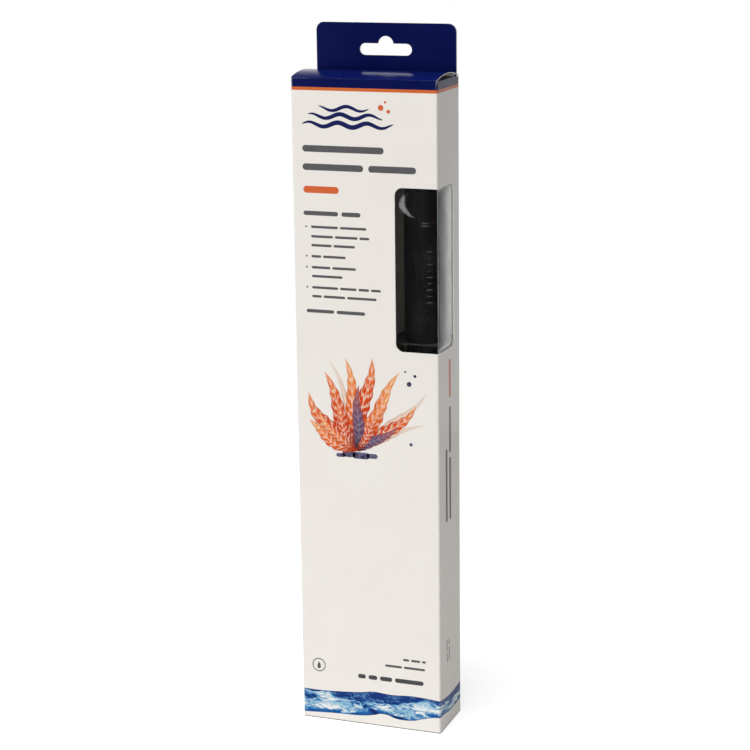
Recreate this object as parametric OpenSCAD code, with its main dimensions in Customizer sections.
// Submersible aquarium heater in its retail carton.
// The carton is a folding box with a hang tab and a corner window. Inside, a folded board fitment
// holds the heater with its face turned to the window corner.
// Frame: origin at the bottom centre of the carton, front towards -Y, right towards +X, up +Z.

/* [Carton] */
// Outer width of the carton
carton_w = 95; // [90:1:110]
// Outer depth of the carton
carton_d = 42; // [41:1:52]
// Height of the carton body, without the hang tab
carton_h = 420; // [380:1:460]
// Thickness of the printed board
board = 0.6; // [0.5:0.1:0.8]
// Outer radius of the four upright creases
crease_r = 1.2; // [1:0.1:2]
// Width of the strip that glues the carton shut
glue_strip_w = 13; // [8:1:16]

/* [Window] */
// How far the window reaches across the front from the right corner
window_front_w = 28; // [20:1:30]
// How far the window reaches along the right side from the front corner
window_side_w = 30.5; // [20:0.5:31]
// Distance of the window's upper edge below the top of the carton body
window_drop = 65.9; // [60:0.1:75]
// Height of the window
window_h = 102.8; // [80:0.1:110]
// Corner radius of the window
window_r = 5; // [2:0.5:8]
// Thickness of the clear film
film_t = 0.25; // [0.2:0.05:0.4]
// How far the film is glued behind the board round the window
film_margin = 6; // [4:1:8]

/* [Hang tab] */
// Height of the tab above the carton body
tab_h = 30.5; // [28:0.5:36]
// How much narrower the tab is than the carton, on each side
tab_inset = 1.3; // [1.3:0.1:6]
// Radius of the tab's upper corners
tab_r = 5; // [2:0.5:10]
// Depth to which the front ply of the tab is glued down inside the carton
tab_ply_drop = 26; // [15:1:27]
// Length of the hang slot
slot_w = 34.5; // [30:0.5:38]
// Height of the hang slot's straight part
slot_h = 7.3; // [6:0.1:9]
// Height of the slot above the carton body
slot_rise = 10.4; // [8:0.1:12]
// Radius of the hump over the middle of the slot
hump_r = 5.1; // [3:0.1:6]

/* [Top closure and flaps] */
// Rise of the arched top panel
dome_rise = 2.7; // [1:0.1:4]
// Length of the tuck-in tongue
tongue_len = 13; // [8:0.5:14]
// Radius of the tongue's lower corners
tongue_r = 9; // [3:0.5:12]
// How much narrower the tongue is than the carton, on each side
tongue_inset = 2.5; // [1:0.5:6]
// Reach of the two top dust flaps
dust_flap_len = 25; // [15:1:28]
// Run of a dust flap's slanted front edge across the carton, for each unit along its depth
flap_slope = 1.5; // [1:0.1:1.5]
// Reach of the two bottom dust flaps
bottom_dust_len = 30; // [20:1:40]
// Depth of the inner bottom flap
bottom_inner_len = 34; // [20:1:38]

/* [Fitment] */
// Thickness of the fitment board
fit_board = 0.8; // [0.6:0.1:1]
// Clear width of the heater's bay, beside the right side panel
bay_w = 36; // [35:0.5:37]
// Distance of the fitment wall's top below the top of the carton body
wall_drop = 47.9; // [46:0.1:80]
// Reach of the two legs that keep the wall upright
leg_len = 50; // [30:1:54]
// Distance of the shelf that carries the heater's head below the top of the carton body
head_drop = 164; // [160:0.5:170]
// Height of the shelf that centres the lower end of the tube
shelf_low_z = 62; // [55:1:68]
// Depth of a shelf's turned-down lip
shelf_lip = 8; // [5:0.5:9]
// Board left beside the holes that the shelves are folded out of
wall_rim = 3; // [2:0.5:5]

/* [Heater body] */
// Outer radius of the heater's tube
tube_r = 12; // [11:0.1:12.2]
// Wall of the tube
tube_wall = 2.2; // [1.8:0.1:2.6]
// How far the control head stands out from the tube all round
head_step = 1; // [0.9:0.1:1.4]
// Wall of the control head
head_wall = 2; // [1.6:0.1:2.4]
// Length of the control head
head_len = 111.7; // [106:0.1:113]
// Length of tube that is held inside the head
socket_len = 12; // [9:0.5:14]
// Gap between the head and the carton's right side panel
side_gap = 1.2; // [1.1:0.1:1.6]
// How far the heater stands forward of the carton's middle
set_forward = 3; // [2.5:0.1:3.4]
// Angle that the heater's face is turned from the front towards the right side
face_turn = 40; // [20:1:45]
// Height of the rubber foot
foot_len = 20; // [15:1:25]
// Width of the raised front cover
cover_w = 18; // [14:0.5:19]
// Distance of the raised front cover's upper end below the head's upper edge
cover_drop = 10.7; // [6:0.1:20]
// Corner radius of the raised front cover
cover_r = 7; // [3:0.5:8]
// Height of the front cover above the head's lower edge
cover_rise = 3; // [2:0.5:4]
// How far the front cover stands proud of the head
cover_proud = 0.5; // [0.2:0.1:0.7]
// Depth that the front cover is let into the head
cover_sunk = 0.7; // [0.4:0.1:0.9]
// Radius of the indicator light
light_r = 1.4; // [1:0.1:2]

/* [Head cap, knob and gland] */
// Thickness of the head's cap
cap_t = 4.2; // [3.5:0.1:5]
// Thickness of the cap's gasket
gasket_t = 0.8; // [0.5:0.1:1]
// Radius of the temperature knob
knob_r = 6.8; // [5.5:0.1:6.9]
// Height of the temperature knob
knob_h = 12; // [9:0.5:13]
// Number of grip flutes round the knob
knob_flutes = 14; // [8:1:18]
// Distance of the knob's axis from the head's axis, towards the face
knob_offset = 4.2; // [4:0.1:4.6]
// Radius of the knob's spindle
spindle_r = 2; // [1.5:0.1:2.4]
// Radius of the opening in the cable gland
gland_bore_r = 2.7; // [2:0.1:2.8]
// Outer radius of the cable gland
gland_r = 4.3; // [3.9:0.1:4.4]
// Height of the cable gland above the cap
gland_h = 10; // [8:0.5:11]
// Distance of the cable gland's axis from the head's axis, away from the face
gland_offset = 7.7; // [7.5:0.1:8]
// Distance of each cap screw from the head's axis
screw_offset = 8.9; // [8.7:0.1:9]
// Shank radius of the cap screws
screw_r = 1.1; // [0.9:0.1:1.3]
// Length of the cap screws
screw_len = 14; // [10:1:16]

/* [Control parts] */
// Thickness of the carrier's end discs and spine
carrier_t = 2; // [1.5:0.1:2.5]
// Thickness of the circuit board
pcb_t = 1.6; // [1:0.1:2]
// Width of the circuit board
pcb_w = 17; // [14:0.5:18]
// Distance between the carrier's end discs
carrier_len = 66; // [66:1:72]
// Distance of the indicator light below the carrier's upper disc
light_drop = 5.7; // [3:0.1:12]

/* [Heating element] */
// Radius of the ceramic core
core_r = 4.85; // [4:0.05:5.2]
// Radius of the resistance wire
wire_r = 0.6; // [0.4:0.05:0.7]
// Turns of resistance wire
coil_turns = 22; // [12:1:24]
// Distance between the upper mica disc and the head's lower edge
core_drop = 23.9; // [14:0.1:40]
// Thickness of the two mica discs
disc_t = 3; // [2:0.5:4]

/* [Mounting clips] */
// Thickness of a clip's ring
clip_t = 1.9; // [1.5:0.1:2]
// Height of a clip's ring
clip_h = 16; // [12:0.5:18]
// Opening angle of a clip's ring
clip_gap = 110; // [90:5:140]
// Height of the lower clip's middle
clip_low_z = 95; // [93:1:98]
// Height of the upper clip's middle
clip_high_z = 150; // [148:1:152]
// Radius of a suction cup's rim
cup_r = 12.3; // [10:0.1:12.6]
// Radius of a suction cup's neck
neck_r = 2.9; // [2.5:0.1:3.2]
// Gap between a suction cup's rim and the carton's back panel
cup_gap = 0.9; // [0.8:0.1:1.5]
// Thickness of a suction cup's button, behind the plate that holds it
button_t = 1.6; // [1.2:0.1:1.8]
// Thickness of the plate that holds a suction cup
clip_plate_t = 1.5; // [1.2:0.1:1.8]

/* [Hidden] */
$fn = 64;
seat = 0.3;
rub = 0.05;
eps = 0.01;
inner_x = carton_w / 2 - board;
inner_y = carton_d / 2 - board;
inner_r = crease_r - board;
window_bottom = carton_h - window_drop - window_h;
tab_w = carton_w - 2 * tab_inset;
glue_margin = 10;
tab_lap = 10;

// Creases that turn: the board's mid-plane carries the axis, and the panels below stop short of it.
turn_r = board / 2;
turn_gap = turn_r + rub;
lid_axis_y = -carton_d / 2 + turn_r;
lid_axis_z = carton_h - turn_r;
ply_face_y = inner_y - board;
tongue_axis_y = ply_face_y - seat - turn_r;
lid_reach = tongue_axis_y - lid_axis_y;
tongue_lean = asin(tongue_len / (2 * lid_reach)) + 1;
tongue_swing = 25;
flap_axis_x = carton_w / 2 - turn_r;
flap_axis_z = carton_h - 1.5 * board - 0.2;
flap_front_y = lid_axis_y + 1.5;
flap_back_y = tongue_axis_y - tongue_len * sin(tongue_lean + tongue_swing / 2) - seat;
flap_taper = 5;

// Fitment
floor_z = 3 * board + seat;
wall_h = carton_h - wall_drop - floor_z;
shelf_mid_z = carton_h - head_drop;
wall_right_x = inner_x - bay_w - rub;
wall_left_x = wall_right_x - fit_board;
fit_front_y = -(inner_y - seat);
fit_back_y = ply_face_y - seat;
shelf_front_y = fit_front_y + wall_rim;
shelf_back_y = fit_back_y - wall_rim;
shelf_right_x = inner_x - film_t - seat;
shelf_reach = shelf_right_x - wall_right_x;

// Heater, from the bottom up
head_r = tube_r + head_step;
heater_x = inner_x - side_gap - head_r;
heater_y = -set_forward;
tube_bore_r = tube_r - tube_wall;
spigot_r = tube_r - 1.1;
spigot_z = floor_z + 2.8;
tube_shoulder_z = floor_z + foot_len + seat;
head_z = shelf_mid_z + seat;
socket_top_z = head_z + socket_len;
tube_top_z = socket_top_z - seat;
head_top_z = head_z + head_len;
head_bore_r = head_r - head_wall;
cap_z = head_top_z + gasket_t;
cap_top_z = cap_z + cap_t;
knob_z = cap_top_z + seat;
spindle_top_z = knob_z + knob_h - 4;
seal_r = 0.72;
seal_mid_r = tube_r + rub - seal_r - rub / 2;
seal_z = head_z + socket_len / 2;
cover_r_in = head_r - cover_sunk;
cover_r_out = head_r + cover_proud;
cover_z = head_z + cover_rise;
cover_len = head_len - cover_rise - cover_drop;

// Control parts, in the head's own axes with the face towards -Y
disc_r = head_bore_r - 0.1;
carrier_z = socket_top_z + 1.7;
carrier_top_z = carrier_z + 2 * carrier_t + carrier_len;
light_z = carrier_top_z - carrier_t - light_drop;
pcb_back_y = 3;
pcb_front_y = pcb_back_y - pcb_t;
pot_r = 5;
pot_h = 9;
pot_socket = 5;
relay_size = [10, 8.6, 18];
relay_rise = 8;
capacitor_size = [12, 6.5, 10];
capacitor_rise = 34;
cutout_r = 2;
cutout_len = 14;
cutout_rise = 20;
sensor_r = 1.6;
sensor_len = 8;
sensor_offset = 7;

// Heating element
core_rise = 11;
core_z = tube_shoulder_z + core_rise;
core_len = head_z - core_z - disc_t - core_drop;
coil_margin = 5;
coil_r = core_r + wire_r + 0.15;
mica_r = tube_bore_r - 0.1;
lead_r = 0.8;
lead_x = 4;
lead_y = 3;

// Mounting clips, measured back from the tube's axis
clip_r_in = tube_r + 0.06;
clip_r_out = clip_r_in + clip_t;
button_y = clip_r_out + 0.2;
clip_plate_y = button_y + button_t + rub;
bell_y = clip_plate_y + clip_plate_t + rub;
rim_y = inner_y - cup_gap - heater_y;
clip_plate_w = 15;
clip_plate_h = 24;
clip_rib_t = 2.4;
clip_rib_trim = 1;
clip_rib_y = 9.6;
button_r = 4.3;
bell_root = 2.4;
bell_wall = 1.3;

// ---------- outlines and helpers ----------

// Rounded rectangle of exact arcs, with its lower left corner at the origin.
module rounded_rect(w, h, r) {
    translate([r, 0]) square([w - 2 * r, h]);
    translate([0, r]) square([w, h - 2 * r]);
    for (x = [r, w - r], y = [r, h - r])
        translate([x, y]) circle(r);
}

// Rectangle with its two left corners rounded.
module left_rounded(w, h, r) {
    translate([r, 0]) square([w - r, h]);
    translate([0, r]) square([r + eps, h - 2 * r]);
    for (y = [r, h - r])
        translate([r, y]) circle(r);
}

// Upright plate from an outline in X and Z: its front face lies at y, its back face at y + t.
module upright(y, t) {
    translate([0, y + t, 0]) rotate([90, 0, 0]) linear_extrude(height = t) children();
}

// Prism along X from an outline in Y and Z, from x to x + w.
module along_x(x, w) {
    translate([x, 0, 0]) rotate([90, 0, 90]) linear_extrude(height = w) children();
}

module at_heater() {
    translate([heater_x, heater_y, 0]) children();
}

// The heater's own axes, in which its face looks towards -Y.
module facing() {
    at_heater() rotate([0, 0, face_turn]) children();
}

// Points on an arc round c, from angle a0 to angle a1.
function arc(c, r, a0, a1, n = 8) =
    [for (i = [0:n]) let (a = a0 + (a1 - a0) * i / n) [c[0] + r * cos(a), c[1] + r * sin(a)]];

// ---------- carton ----------

// Plan of a front or back panel: a flat with a quarter-round crease at each end.
module panel_plan() {
    translate([-(carton_w / 2 - crease_r), -carton_d / 2]) square([carton_w - 2 * crease_r, board]);
    for (s = [-1, 1])
        translate([s * (carton_w / 2 - crease_r), -carton_d / 2 + crease_r])
            intersection() {
                difference() {
                    circle(crease_r);
                    circle(inner_r);
                }
                translate([s > 0 ? 0 : -crease_r, -crease_r]) square(crease_r);
            }
}

module front_panel() {
    color("#e9e4dc")
    difference() {
        linear_extrude(height = lid_axis_z - turn_gap) panel_plan();
        translate([carton_w / 2 - window_front_w, 0, window_bottom])
            upright(-carton_d / 2 - 1, crease_r + 2)
                left_rounded(window_front_w + 1, window_h, window_r);
    }
}

// One side panel, for s = 1 on the right and s = -1 on the left.
module side_panel(s) {
    translate([s > 0 ? inner_x : -carton_w / 2, -(carton_d / 2 - crease_r), 0])
        cube([board, carton_d - 2 * crease_r, flap_axis_z - turn_gap]);
}

module right_side_panel() {
    color("#b1afa9")
    difference() {
        side_panel(1);
        translate([inner_x - 1, window_side_w - carton_d / 2, window_bottom])
            rotate([90, 0, 90]) linear_extrude(height = board + 2)
                mirror([1, 0]) left_rounded(window_side_w + 1, window_h, window_r);
    }
}

module left_side_panel() {
    color("#b1afa9") side_panel(-1);
}

// Outline of the hang tab from height z0 up, with the hang slot cut out.
module tab_outline(z0) {
    difference() {
        union() {
            translate([-tab_w / 2, z0]) square([tab_w, carton_h + tab_h - tab_r - z0]);
            translate([-tab_w / 2 + tab_r, z0]) square([tab_w - 2 * tab_r, carton_h + tab_h - z0]);
            for (s = [-1, 1])
                translate([s * (tab_w / 2 - tab_r), carton_h + tab_h - tab_r]) circle(tab_r);
        }
        hang_slot();
    }
}

// Slot with round ends and a hump over its middle, which a hook's wire sits in.
module hang_slot() {
    translate([0, carton_h + slot_rise]) {
        translate([-slot_w / 2 + slot_h / 2, 0]) square([slot_w - slot_h, slot_h]);
        for (s = [-1, 1])
            translate([s * (slot_w - slot_h) / 2, slot_h / 2]) circle(slot_h / 2);
        translate([0, slot_h - 0.5]) circle(hump_r);
    }
}

module back_panel() {
    color("#e9e4dc")
    union() {
        linear_extrude(height = carton_h) mirror([0, 1]) panel_plan();
        upright(inner_y, board) tab_outline(carton_h - tab_lap);
    }
}

module tab_front_ply() {
    color("#0b1646") upright(ply_face_y, board) tab_outline(carton_h - tab_ply_drop);
}

module glue_strip() {
    color("#d8d3c8")
    translate([-inner_x, ply_face_y - seat - glue_strip_w, glue_margin])
        cube([board, glue_strip_w, carton_h - tab_ply_drop - 2 * glue_margin]);
}

// Clear film folded round the window corner, glued behind the board.
module window_film() {
    left = carton_w / 2 - window_front_w - film_margin;
    back = window_side_w - carton_d / 2 + film_margin;
    color("#dfe6ee", 0.3)
    translate([0, 0, window_bottom - film_margin])
        linear_extrude(height = window_h + 2 * film_margin) {
            translate([left, -inner_y]) square([inner_x - inner_r - left, film_t]);
            translate([inner_x - film_t, -inner_y + inner_r]) square([film_t, back + inner_y - inner_r]);
            translate([inner_x - inner_r, -inner_y + inner_r])
                intersection() {
                    difference() {
                        circle(inner_r);
                        circle(inner_r - film_t);
                    }
                    translate([0, -inner_r]) square(inner_r);
                }
        }
}

// Plan of the carton's inside, cut to a depth from the side s of the front or back panel.
module floor_plan(depth, s) {
    intersection() {
        translate([-inner_x, -inner_y]) rounded_rect(2 * inner_x, 2 * inner_y, inner_r);
        translate([-inner_x, s > 0 ? inner_y - depth : -inner_y]) square([2 * inner_x, depth]);
    }
}

module bottom_outer_flap() {
    color("#e9e4dc") linear_extrude(height = board) floor_plan(2 * inner_y, -1);
}

module bottom_inner_flap() {
    color("#d8d3c8")
    translate([0, 0, board]) linear_extrude(height = board) floor_plan(bottom_inner_len, 1);
}

module bottom_dust_flap(s) {
    color("#d8d3c8")
    translate([0, 0, 2 * board]) linear_extrude(height = board)
        intersection() {
            floor_plan(2 * inner_y, -1);
            translate([s > 0 ? inner_x - bottom_dust_len : -inner_x, -inner_y])
                square([bottom_dust_len, 2 * inner_y]);
        }
}

module bottom_dust_flap_left() {
    bottom_dust_flap(-1);
}

module bottom_dust_flap_right() {
    bottom_dust_flap(1);
}

// Arched panel: an arc of board from the front crease to the tongue's crease.
module top_panel() {
    arch_r = lid_reach * lid_reach / (8 * dome_rise) + dome_rise / 2;
    color("#101c52")
    along_x(-carton_w / 2 + seat, carton_w - 2 * seat) {
        intersection() {
            translate([lid_axis_y + lid_reach / 2, lid_axis_z + dome_rise - arch_r])
                difference() {
                    circle(arch_r + turn_r, $fn = 256);
                    circle(arch_r - turn_r, $fn = 256);
                }
            translate([lid_axis_y, lid_axis_z - board])
                square([lid_reach - board, dome_rise + 2 * board]);
        }
        translate([lid_axis_y, lid_axis_z]) circle(turn_r, $fn = 24);
    }
}

// Tongue that leans in from the back panel, so that its tip clears the panel as the lid swings.
module tuck_tongue() {
    half_w = carton_w / 2 - tongue_inset;
    color("#101c52")
    translate([0, tongue_axis_y, lid_axis_z]) rotate([-tongue_lean, 0, 0]) {
        upright(-turn_r, board)
            difference() {
                translate([-half_w, -tongue_len]) square([2 * half_w, tongue_len]);
                for (s = [-1, 1])
                    translate([s * half_w, -tongue_len])
                        difference() {
                            translate([-tongue_r, -tongue_r]) square(2 * tongue_r);
                            translate([-s * tongue_r, tongue_r]) circle(tongue_r);
                            translate([-s * tongue_r - tongue_r, tongue_r]) square([2 * tongue_r, tongue_r]);
                            translate([s > 0 ? -2 * tongue_r : tongue_r, -tongue_r])
                                square([tongue_r, 2 * tongue_r]);
                        }
            }
        along_x(-half_w, 2 * half_w) circle(turn_r, $fn = 24);
    }
}

// Top dust flap: s = 1 turns on the right side panel, s = -1 on the left.
module dust_flap(s) {
    tip_y = flap_front_y + dust_flap_len / flap_slope;
    color("#101c52")
    translate([s * flap_axis_x, 0, flap_axis_z]) {
        translate([0, 0, -turn_r]) linear_extrude(height = board)
            polygon([
                [0, flap_front_y], [-s * dust_flap_len, tip_y],
                [-s * dust_flap_len, flap_back_y - flap_taper], [0, flap_back_y]
            ]);
        translate([0, flap_back_y, 0]) rotate([90, 0, 0])
            cylinder(r = turn_r, h = flap_back_y - flap_front_y, $fn = 24);
    }
}

module dust_flap_left() {
    dust_flap(-1);
}

module dust_flap_right() {
    dust_flap(1);
}

// ---------- fitment ----------

module fitment_wall() {
    color("#8d867c")
    difference() {
        translate([wall_left_x, fit_front_y, floor_z])
            cube([fit_board, fit_back_y - fit_front_y, wall_h]);
        for (z = [shelf_low_z, shelf_mid_z])
            translate([wall_left_x - 1, shelf_front_y, z - fit_board - shelf_reach - shelf_lip])
                cube([fit_board + 2, shelf_back_y - shelf_front_y, shelf_reach + shelf_lip]);
    }
}

module fitment_leg(y) {
    color("#8d867c")
    translate([wall_left_x - leg_len, y, floor_z]) cube([leg_len, fit_board, wall_h]);
}

module fitment_front_leg() {
    fitment_leg(fit_front_y);
}

module fitment_back_leg() {
    fitment_leg(fit_back_y - fit_board);
}

// Shelf folded out of the wall, with a turned-down lip and a round hole for the tube.
module shelf(z) {
    color("#8d867c")
    difference() {
        union() {
            translate([wall_right_x, shelf_front_y, z - fit_board])
                cube([shelf_reach, shelf_back_y - shelf_front_y, fit_board]);
            translate([shelf_right_x - fit_board, shelf_front_y, z - fit_board - shelf_lip])
                cube([fit_board, shelf_back_y - shelf_front_y, shelf_lip + eps]);
        }
        translate([0, 0, z - 2 * fit_board]) at_heater() cylinder(r = tube_r + seat, h = 3 * fit_board);
    }
}

module shelf_lower() {
    shelf(shelf_low_z);
}

module shelf_middle() {
    shelf(shelf_mid_z);
}

// ---------- heater body ----------

// Rubber foot pushed over the tube's closed end, with a well-rounded edge.
module foot_cap() {
    edge_r = 5;
    wall_r = spigot_r + rub;
    color("#1b1b1d")
    at_heater() rotate_extrude()
        polygon(concat(
            [[0, floor_z]],
            arc([tube_r - edge_r, floor_z + edge_r], edge_r, -90, 0),
            [[tube_r, floor_z + foot_len], [wall_r, floor_z + foot_len], [wall_r, spigot_z - rub],
             [0, spigot_z - rub]]
        ));
}

// Closed shatterproof tube with a spigot for the foot and a groove for the head's seal.
module body_tube() {
    end_t = 2.5;
    groove_r = tube_r - 2 * seal_r;
    color("#161618")
    at_heater() rotate_extrude()
        polygon([
            [0, spigot_z], [spigot_r, spigot_z], [spigot_r, tube_shoulder_z], [tube_r, tube_shoulder_z],
            [tube_r, seal_z - seal_r], [groove_r, seal_z - seal_r], [groove_r, seal_z + seal_r],
            [tube_r, seal_z + seal_r], [tube_r, tube_top_z], [tube_bore_r, tube_top_z],
            [tube_bore_r, spigot_z + end_t], [0, spigot_z + end_t]
        ]);
}

module tube_seal() {
    color("#2a2a2c")
    at_heater() translate([0, 0, seal_z]) rotate_extrude()
        translate([seal_mid_r, 0]) circle(seal_r - rub / 2, $fn = 24);
}

// Block behind the front cover's outline, grown by a margin on each side.
module cover_block(margin) {
    w = cover_w + 2 * margin;
    h = cover_len + 2 * margin;
    translate([-w / 2, 0, cover_z - margin]) upright(-head_r - 2, head_r + 2)
        rounded_rect(w, h, cover_r + margin);
}

// Control head: a shell that sockets over the tube, recessed at the face, with two screw bosses.
module head_housing() {
    edge_r = 0.9;
    boss_r = screw_r + 1.2;
    color("#141416")
    facing() {
        difference() {
            rotate_extrude()
                polygon(concat(
                    [[tube_r + rub, head_z]],
                    arc([head_r - edge_r, head_z + edge_r], edge_r, -90, 0, 4),
                    [[head_r, head_top_z], [head_bore_r, head_top_z], [head_bore_r, socket_top_z],
                     [tube_r + rub, socket_top_z]]
                ));
            intersection() {
                cover_block(0.15);
                difference() {
                    cylinder(r = head_r + 2, h = head_top_z);
                    translate([0, 0, -1]) cylinder(r = cover_r_in, h = head_top_z + 2);
                }
            }
            translate([0, 0, light_z]) rotate([90, 0, 0]) cylinder(r = light_r + rub, h = head_r + 2);
        }
        for (s = [-1, 1])
            difference() {
                intersection() {
                    translate([s * screw_offset, 0, head_top_z - screw_len - 2])
                        cylinder(r = boss_r, h = screw_len + 2);
                    cylinder(r = head_bore_r + 0.5, h = head_top_z);
                }
                translate([s * screw_offset, 0, head_top_z - screw_len])
                    cylinder(r = screw_r, h = screw_len + 1);
            }
    }
}

// Raised cover on the head's face, bent to the head's round.
module front_cover() {
    color("#1c1c20")
    facing()
    difference() {
        intersection() {
            cover_block(0);
            difference() {
                cylinder(r = cover_r_out, h = head_top_z);
                translate([0, 0, -1]) cylinder(r = cover_r_in + rub, h = head_top_z + 2);
            }
        }
        translate([0, 0, light_z]) rotate([90, 0, 0]) cylinder(r = light_r + rub, h = head_r + 2);
    }
}

// Light pipe from the circuit board to the face.
module indicator_light() {
    color("#c8502a")
    facing() translate([0, pcb_front_y, light_z]) rotate([90, 0, 0]) {
        cylinder(r = light_r, h = pcb_front_y + cover_r_out - 0.2);
        cylinder(r = light_r + 0.6, h = 2);
    }
}

// ---------- cap, knob and gland ----------

module cap_gasket() {
    color("#2a2a2c")
    at_heater() translate([0, 0, head_top_z])
        difference() {
            cylinder(r = head_r - 0.5, h = gasket_t);
            translate([0, 0, -1]) cylinder(r = head_bore_r + 0.3, h = gasket_t + 2);
        }
}

module head_cap() {
    edge_r = 1.6;
    seal_pocket_r = spindle_r + 1.8;
    color("#141416")
    facing()
    difference() {
        rotate_extrude()
            polygon(concat(
                [[0, cap_z], [head_r, cap_z]],
                arc([head_r - edge_r, cap_top_z - edge_r], edge_r, 0, 90, 6),
                [[0, cap_top_z]]
            ));
        translate([0, -knob_offset, cap_z - 1]) cylinder(r = spindle_r + rub, h = cap_t + 2);
        translate([0, -knob_offset, cap_z - 1]) cylinder(r = seal_pocket_r, h = 1 + cap_t / 2);
        translate([0, gland_offset, cap_z - 1]) cylinder(r = gland_bore_r + 0.6, h = cap_t + 2);
        for (s = [-1, 1])
            translate([s * screw_offset, 0, cap_z - 1]) {
                cylinder(r = screw_r + 0.2, h = cap_t + 2);
                translate([0, 0, cap_t - 0.6]) cylinder(r = 2 * screw_r + 0.1, h = 3);
            }
    }
}

// Two pan-head screws with a cross slot.
module cap_screws() {
    head_h = 1.4;
    color("#b9bcc0")
    facing() for (s = [-1, 1])
        translate([s * screw_offset, 0, cap_top_z - 1.6])
            difference() {
                union() {
                    cylinder(r = 2 * screw_r, h = head_h);
                    translate([0, 0, 0.5 - screw_len]) cylinder(r = screw_r, h = screw_len);
                }
                for (a = [0, 90])
                    translate([0, 0, head_h]) rotate([0, 0, a]) cube([2.4, 0.5, 1.2], center = true);
            }
}

// Gland with a hexagon grip; the mains lead is moulded into its opening.
module cable_gland() {
    flange_h = 2;
    color("#1b1b1d")
    facing() translate([0, gland_offset, cap_top_z])
        difference() {
            union() {
                cylinder(r = gland_r, h = flange_h);
                translate([0, 0, flange_h - eps]) cylinder(r = gland_r, h = 4, $fn = 6);
                translate([0, 0, flange_h]) cylinder(r = gland_bore_r + 0.9, h = gland_h - flange_h);
                translate([0, 0, -cap_t]) cylinder(r = gland_bore_r + 0.55, h = cap_t + eps);
            }
            translate([0, 0, -cap_t - 1]) cylinder(r = gland_bore_r, h = cap_t + gland_h + 2);
        }
}

module spindle_seal() {
    ring_r = 0.8;
    color("#2a2a2c")
    facing() translate([0, -knob_offset, cap_z + cap_t / 2 - ring_r - rub]) rotate_extrude()
        translate([spindle_r + ring_r + rub, 0]) circle(ring_r, $fn = 24);
}

// Knob with flutes round its grip and a pointer groove across its crowned top.
module temperature_knob() {
    crown = 1.2;
    flute_r = 1.1;
    color("#26262a")
    facing() translate([0, -knob_offset, knob_z])
        difference() {
            rotate_extrude()
                polygon(concat(
                    [[spindle_r, 0], [knob_r - 0.4, 0], [knob_r, 0.4], [knob_r, knob_h - crown - 0.8]],
                    arc([knob_r - 0.8, knob_h - crown - 0.8], 0.8, 10, 70, 3),
                    [[0, knob_h], [0, spindle_top_z - knob_z], [spindle_r, spindle_top_z - knob_z]]
                ));
            for (i = [1:knob_flutes])
                rotate([0, 0, 360 * i / knob_flutes])
                    translate([knob_r + 0.55, 0, 2]) cylinder(r = flute_r, h = knob_h);
            translate([-0.6, -knob_r, knob_h - crown - 0.6]) cube([1.2, knob_r - 1.5, 3]);
        }
}

module knob_spindle() {
    foot_z = carrier_top_z + pot_h - pot_socket + rub;
    color("#c7c9cc")
    facing() translate([0, -knob_offset, foot_z]) cylinder(r = spindle_r, h = spindle_top_z - foot_z);
}

// ---------- control parts ----------

// Plastic carrier: two end discs joined by a spine, which the circuit board lies against.
module board_carrier() {
    spine_w = 14;
    color("#d9d4c4")
    facing() {
        for (z = [carrier_z, carrier_z + carrier_t + carrier_len])
            translate([0, 0, z]) cylinder(r = disc_r, h = carrier_t);
        translate([-spine_w / 2, pcb_back_y, carrier_z + carrier_t - eps])
            cube([spine_w, carrier_t, carrier_len + 2 * eps]);
    }
}

module circuit_board() {
    color("#1f6b3a")
    facing() translate([-pcb_w / 2, pcb_front_y, carrier_z + carrier_t])
        cube([pcb_w, pcb_t, carrier_len]);
}

// Box-shaped part on the front of the circuit board, a height above the carrier's lower disc.
module on_board(size, rise) {
    facing() translate([-size[0] / 2, pcb_front_y - size[1], carrier_z + carrier_t + rise]) cube(size);
}

module relay() {
    color("#2450a8") on_board(relay_size, relay_rise);
}

module film_capacitor() {
    color("#b8862b") on_board(capacitor_size, capacitor_rise);
}

module setting_potentiometer() {
    color("#55585c")
    facing() translate([0, -knob_offset, carrier_top_z])
        difference() {
            union() {
                cylinder(r = pot_r, h = pot_h - 3);
                cylinder(r = spindle_r + 1.2, h = pot_h);
            }
            translate([0, 0, pot_h - pot_socket]) cylinder(r = spindle_r + rub, h = pot_socket + 1);
        }
}

// Over-temperature cut-out, strapped to the back of the carrier's spine.
module thermal_cutout() {
    color("#c9b27a")
    facing() translate([0, pcb_back_y + carrier_t + cutout_r, carrier_z + cutout_rise])
        cylinder(r = cutout_r, h = cutout_len);
}

module temperature_sensor() {
    color("#3a2f28")
    facing() translate([-sensor_offset, 0, carrier_z - sensor_len]) {
        cylinder(r = sensor_r, h = sensor_len);
        sphere(r = sensor_r, $fn = 32);
    }
}

// ---------- heating element ----------

// Ceramic former that the wire is wound on, held between the two mica discs.
module heating_core() {
    color("#e8e2d2") at_heater() translate([0, 0, core_z]) cylinder(r = core_r, h = core_len);
}

module mica_disc(z) {
    color("#b7a88a") at_heater() translate([0, 0, z]) cylinder(r = mica_r, h = disc_t);
}

module mica_disc_lower() {
    mica_disc(core_z - disc_t);
}

module mica_disc_upper() {
    mica_disc(core_z + core_len);
}

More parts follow.
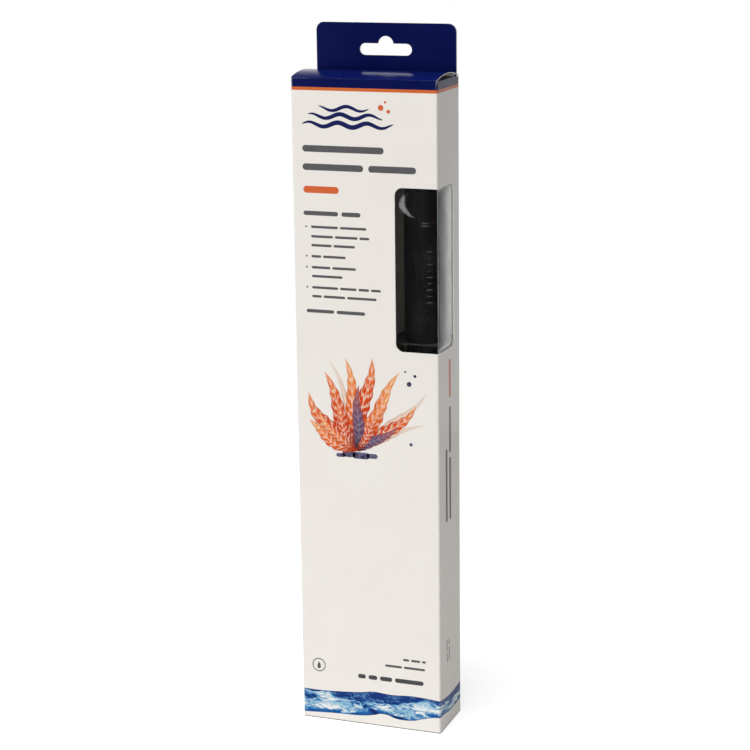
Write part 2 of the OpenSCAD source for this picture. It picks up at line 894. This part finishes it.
// Resistance wire wound round the core: a six-sided section swept along a helix.
module heating_coil() {
    steps = 16;
    sides = 6;
    rise = core_len - 2 * coil_margin;
    count = coil_turns * steps;
    rings = [for (i = [0:count]) let (a = 360 * i / steps, z = rise * i / count)
        [for (k = [0:sides - 1]) let (b = 360 * k / sides, q = coil_r + wire_r * cos(b))
            [q * cos(a), q * sin(a), z + wire_r * sin(b)]]];
    points = [for (ring = rings) each ring];
    walls = [for (i = [0:count - 1], k = [0:sides - 1]) let (n = (k + 1) % sides)
        [i * sides + k, (i + 1) * sides + k, (i + 1) * sides + n, i * sides + n]];
    ends = [[for (k = [0:sides - 1]) k], [for (k = [sides - 1:-1:0]) count * sides + k]];
    color("#8b8f96") at_heater() translate([0, 0, core_z + coil_margin]) polyhedron(points, concat(walls, ends));
}

// Two stiff wires from the upper mica disc to the carrier.
module lead_wires() {
    foot_z = core_z + core_len + disc_t;
    color("#b87333")
    facing() for (s = [-1, 1])
        translate([s * lead_x, lead_y, foot_z]) cylinder(r = lead_r, h = carrier_z - foot_z);
}

// ---------- mounting clips ----------

// Spring ring open at the front, with a plate behind it whose keyhole holds the suction cup.
module clip(z) {
    rib_h = clip_h - 2 * clip_rib_trim;
    color("#202024")
    at_heater() translate([0, 0, z])
        difference() {
            union() {
                difference() {
                    translate([0, 0, -clip_h / 2]) cylinder(r = clip_r_out, h = clip_h);
                    rotate([0, 0, -90]) linear_extrude(height = clip_h + 2, center = true)
                        polygon([[0, 0], for (a = [-clip_gap / 2, 0, clip_gap / 2])
                            3 * clip_r_out * [cos(a), sin(a)]]);
                }
                for (s = [-1, 1])
                    translate([s * (clip_plate_w - clip_rib_t) / 2 - clip_rib_t / 2, clip_rib_y, -rib_h / 2])
                        cube([clip_rib_t, clip_plate_y - clip_rib_y + eps, rib_h]);
                translate([-clip_plate_w / 2, clip_plate_y, -clip_plate_h / 2])
                    cube([clip_plate_w, clip_plate_t, clip_plate_h]);
            }
            translate([0, 0, -clip_h]) cylinder(r = clip_r_in, h = 2 * clip_h);
            translate([0, clip_plate_y - 1, 0]) rotate([-90, 0, 0])
                cylinder(r = neck_r + rub, h = clip_plate_t + 2);
            translate([-neck_r * 0.8, clip_plate_y - 1, 0])
                cube([2 * neck_r * 0.8, clip_plate_t + 2, clip_plate_h]);
        }
}

module clip_lower() {
    clip(clip_low_z);
}

module clip_upper() {
    clip(clip_high_z);
}

// Suction cup: button, neck and a bell whose hollow side faces the back.
module suction_cup(z) {
    bell_h = rim_y - bell_y;
    color("#6d7176")
    at_heater() translate([0, 0, z]) rotate([-90, 0, 0]) rotate_extrude()
        polygon(concat(
            [[0, button_y], [button_r, button_y], [button_r, button_y + button_t],
             [neck_r, button_y + button_t], [neck_r, bell_y], [neck_r + bell_root, bell_y]],
            [for (i = [1:6]) let (t = i / 6)
                [neck_r + bell_root + (cup_r - neck_r - bell_root) * t,
                 bell_y + bell_h * (0.25 * t + 0.65 * t * t)]],
            [[cup_r, rim_y]],
            [for (i = [5:-1:0]) let (t = i / 6)
                [(cup_r - 0.4) * t, min(rim_y - 0.2, bell_y + bell_wall + bell_h * (0.1 * t + 0.72 * t * t))]]
        ));
}

module suction_cup_lower() {
    suction_cup(clip_low_z);
}

module suction_cup_upper() {
    suction_cup(clip_high_z);
}

front_panel();
right_side_panel();
back_panel();
left_side_panel();
glue_strip();
tab_front_ply();
window_film();
bottom_outer_flap();
bottom_inner_flap();
bottom_dust_flap_left();
bottom_dust_flap_right();
top_panel();
tuck_tongue();
dust_flap_left();
dust_flap_right();
fitment_wall();
fitment_front_leg();
fitment_back_leg();
shelf_lower();
shelf_middle();
foot_cap();
body_tube();
tube_seal();
head_housing();
front_cover();
indicator_light();
cap_gasket();
head_cap();
cap_screws();
cable_gland();
spindle_seal();
temperature_knob();
knob_spindle();
board_carrier();
circuit_board();
relay();
film_capacitor();
setting_potentiometer();
thermal_cutout();
temperature_sensor();
heating_core();
heating_coil();
mica_disc_lower();
mica_disc_upper();
lead_wires();
clip_lower();
clip_upper();
suction_cup_lower();
suction_cup_upper();
